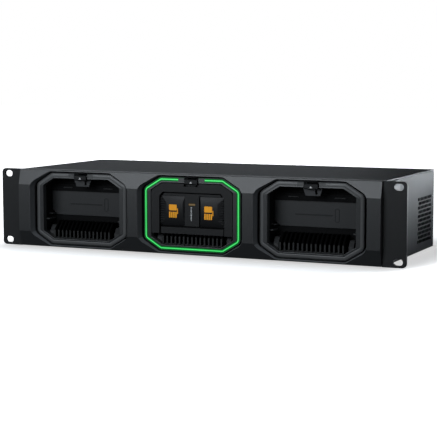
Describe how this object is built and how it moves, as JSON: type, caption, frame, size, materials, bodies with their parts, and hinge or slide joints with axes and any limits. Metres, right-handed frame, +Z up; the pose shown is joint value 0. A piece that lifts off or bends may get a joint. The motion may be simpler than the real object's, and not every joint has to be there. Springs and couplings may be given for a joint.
{
  "type": "rack-mount storage-module dock",
  "caption": "Rack-mount dock, two units high, with octagonal bays that take slide-in storage modules, light rings, sprung latches and dust doors.",
  "frame": {"origin": "centre of the bottom of the whole object's box", "axes": "+Z up, +X to the right seen from the front, the front looks along -Y"},
  "size_m": [0.4826, 0.195, 0.0881],
  "materials": {
    "chassis_sheet": "fine satin black powder coat",
    "fascia_coat": "fine satin dark grey coat",
    "bracket_coat": "fine satin black powder coat",
    "ring_plastic": "satin moulded plastic",
    "guide_off": "translucent light guide, unlit",
    "guide_lit": "translucent light guide, lit green",
    "liner_plastic": "moulded plastic",
    "door_plastic": "fine moulded texture",
    "latch_plastic": "satin moulded plastic",
    "module_plastic": "satin moulded plastic",
    "carrier_plastic": "satin moulded plastic",
    "status_orange": "small light bar",
    "board": "solder mask",
    "dark_moulding": "moulded plastic",
    "steel": "plated steel",
    "plain_metal": "bare sheet"
  },
  "bodies": {
    "chassis": {"chassis_base": "chassis_sheet", "top_cover": "chassis_sheet", "rear_panel": "chassis_sheet", "front_fascia": "fascia_coat", "main_board": "board", "power_supply": "plain_metal", "power_inlet": "dark_moulding", "data_port_block": "plain_metal", "side_panel_left": "chassis_sheet", "rack_bracket_left": "bracket_coat", "bracket_screw_left_lower": "steel", "bracket_screw_left_upper": "steel", "fan_frame_left": "dark_moulding", "side_panel_right": "chassis_sheet", "rack_bracket_right": "bracket_coat", "bracket_screw_right_lower": "steel", "bracket_screw_right_upper": "steel", "fan_frame_right": "dark_moulding", "bay_ring_left": "ring_plastic", "light_guide_left": "guide_off", "led_board_left": "board", "bay_pocket_left": "liner_plastic", "door_pin_left": "steel", "latch_bracket_left": "latch_plastic", "latch_pin_left": "steel", "latch_spring_left": "steel", "bay_connector_left": "board", "bay_ring_center": "ring_plastic", "light_guide_center": "guide_lit", "led_board_center": "board", "bay_pocket_center": "liner_plastic", "door_pin_center": "steel", "latch_bracket_center": "latch_plastic", "latch_pin_center": "steel", "latch_spring_center": "steel", "bay_connector_center": "board", "bay_ring_right": "ring_plastic", "light_guide_right": "guide_off", "led_board_right": "board", "bay_pocket_right": "liner_plastic", "door_pin_right": "steel", "latch_bracket_right": "latch_plastic", "latch_pin_right": "steel", "latch_spring_right": "steel", "bay_connector_right": "board"},
    "module": {"module_front_plate": "module_plastic", "module_body": "plain_metal", "module_board": "board", "module_status_bar": "status_orange"},
    "card_carrier_left": {"card_carrier_left": "carrier_plastic"},
    "card_carrier_right": {"card_carrier_right": "carrier_plastic"},
    "fan_rotor_left": {"fan_rotor_left": "dark_moulding"},
    "fan_rotor_right": {"fan_rotor_right": "dark_moulding"},
    "latch_left": {"latch_lever_left": "latch_plastic"},
    "door_left": {"dust_door_left": "door_plastic"},
    "latch_center": {"latch_lever_center": "latch_plastic"},
    "door_center": {"dust_door_center": "door_plastic"},
    "latch_right": {"latch_lever_right": "latch_plastic"},
    "door_right": {"dust_door_right": "door_plastic"}
  },
  "joints": [
    {"name": "module_slide", "type": "slide", "parent": "chassis", "child": "module", "axis": [0, -1, 0], "range_m": [0, 0.135]},
    {"name": "carrier_slide_left", "type": "slide", "parent": "module", "child": "card_carrier_left", "axis": [0, -1, 0], "range_m": [0, 0.09]},
    {"name": "carrier_slide_right", "type": "slide", "parent": "module", "child": "card_carrier_right", "axis": [0, -1, 0], "range_m": [0, 0.09]},
    {"name": "latch_swing_left", "type": "hinge", "parent": "chassis", "child": "latch_left", "pos_m": [-0.138, -0.085, 0.0809], "axis": [-1, 0, 0], "range_deg": [0, 8], "stiffness_Nm_per_rad": 0.02},
    {"name": "door_hinge_left", "type": "hinge", "parent": "chassis", "child": "door_left", "pos_m": [-0.138, -0.0687, 0.0657], "axis": [1, 0, 0], "range_deg": [0, 88], "stiffness_Nm_per_rad": 0.003},
    {"name": "latch_swing_center", "type": "hinge", "parent": "chassis", "child": "latch_center", "pos_m": [0, -0.085, 0.0809], "axis": [-1, 0, 0], "range_deg": [0, 8], "stiffness_Nm_per_rad": 0.02},
    {"name": "door_hinge_center", "type": "hinge", "parent": "chassis", "child": "door_center", "pos_m": [0, -0.0687, 0.0657], "axis": [1, 0, 0], "range_deg": [0, 3], "stiffness_Nm_per_rad": 0.003, "springref_deg": -90},
    {"name": "latch_swing_right", "type": "hinge", "parent": "chassis", "child": "latch_right", "pos_m": [0.138, -0.085, 0.0809], "axis": [-1, 0, 0], "range_deg": [0, 8], "stiffness_Nm_per_rad": 0.02},
    {"name": "door_hinge_right", "type": "hinge", "parent": "chassis", "child": "door_right", "pos_m": [0.138, -0.0687, 0.0657], "axis": [1, 0, 0], "range_deg": [0, 88], "stiffness_Nm_per_rad": 0.003},
    {"name": "fan_spin_left", "type": "hinge", "parent": "chassis", "child": "fan_rotor_left", "pos_m": [-0.2092, 0.05975, 0.035], "axis": [1, 0, 0], "continuous": true},
    {"name": "fan_spin_right", "type": "hinge", "parent": "chassis", "child": "fan_rotor_right", "pos_m": [0.2092, 0.05975, 0.035], "axis": [1, 0, 0], "continuous": true}
  ]
}
